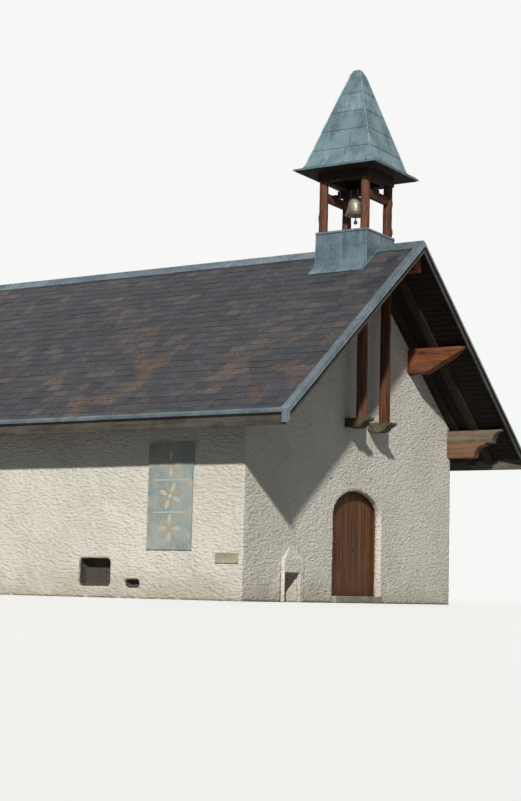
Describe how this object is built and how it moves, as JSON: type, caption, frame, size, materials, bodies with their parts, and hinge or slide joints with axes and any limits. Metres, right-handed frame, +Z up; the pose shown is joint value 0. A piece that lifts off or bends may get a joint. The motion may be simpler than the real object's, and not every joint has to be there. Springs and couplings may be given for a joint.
{
  "type": "small chapel",
  "caption": "Small mountain chapel with rough rendered walls, steep slate roof, arched double door and an open bell turret with a swinging bell.",
  "frame": {"origin": "on the ground under the middle of the roof", "axes": "+Z up, ridge along Y, doorway gable faces -Y, +X to the right seen from the front"},
  "size_m": [9.072, 10.912, 9.78],
  "materials": {
    "render_white": "rough trowelled lime render",
    "floor_stone": "worn stone",
    "corbel_stone": "rough split stone",
    "door_wood": "brown oiled planks",
    "forged_iron": "dark forged iron",
    "post_wood": "reddish brown rough posts",
    "dark_wood": "dark weathered timber",
    "beam_wood": "sunlit reddish brown beams",
    "grey_wood": "grey weathered boards",
    "slate": "grey-violet slates",
    "zinc": "weathered blue-grey sheet metal",
    "patina_sheet": "grey-green patinated sheet metal",
    "bell_bronze": "dull weathered bronze",
    "painted_plaster": "painted plaster panel",
    "plaque_stone": "olive-grey plaque, bare"
  },
  "bodies": {
    "chapel": {"back_wall": "render_white", "front_wall_left": "render_white", "front_wall_right": "render_white", "front_wall_arch": "render_white", "front_wall_gable": "render_white", "left_wall": "render_white", "right_wall": "render_white", "stone_ledge": "render_white", "floor_slab": "floor_stone", "door_threshold": "floor_stone", "corbels": "corbel_stone", "door_frame": "door_wood", "door_pintles": "forged_iron", "turret_posts": "post_wood", "turret_rails": "post_wood", "turret_head": "dark_wood", "turret_soffit": "dark_wood", "turret_bearer": "dark_wood", "ridge_purlin": "beam_wood", "mid_purlins": "beam_wood", "wall_plates_lower": "beam_wood", "wall_plates_upper": "beam_wood", "rafters_left": "dark_wood", "rafters_right": "dark_wood", "roof_boards_left": "dark_wood", "roof_boards_right": "dark_wood", "verge_boards": "grey_wood", "fascias": "grey_wood", "roof_covering_left": "slate", "roof_covering_right": "slate", "verge_metal": "zinc", "eave_metal": "zinc", "ridge_cap": "zinc", "turret_base": "zinc", "turret_roof": "patina_sheet", "painted_panel": "painted_plaster", "wall_plaque": "plaque_stone"},
    "door_left": {"door_leaf_left": "door_wood", "door_straps_left": "forged_iron"},
    "door_right": {"door_leaf_right": "door_wood", "door_straps_right": "forged_iron", "door_grip": "forged_iron"},
    "bell_unit": {"bell_headstock": "post_wood", "bell": "bell_bronze"},
    "clapper_unit": {"clapper": "forged_iron"}
  },
  "joints": [
    {"name": "door_left_hinge", "type": "hinge", "parent": "chapel", "child": "door_left", "pos_m": [-0.85, -3.975, 0.13], "axis": [0, 0, 1], "range_deg": [0, 92]},
    {"name": "door_right_hinge", "type": "hinge", "parent": "chapel", "child": "door_right", "pos_m": [0.85, -3.975, 0.13], "axis": [0, 0, -1], "range_deg": [0, 92]},
    {"name": "bell_swing", "type": "hinge", "parent": "chapel", "child": "bell_unit", "pos_m": [0, -4.037, 7.44], "axis": [0, 1, 0], "range_deg": [-30, 30]},
    {"name": "clapper_swing", "type": "hinge", "parent": "bell_unit", "child": "clapper_unit", "pos_m": [0, -4.037, 7.323], "axis": [0, 1, 0], "range_deg": [-22, 22]}
  ]
}
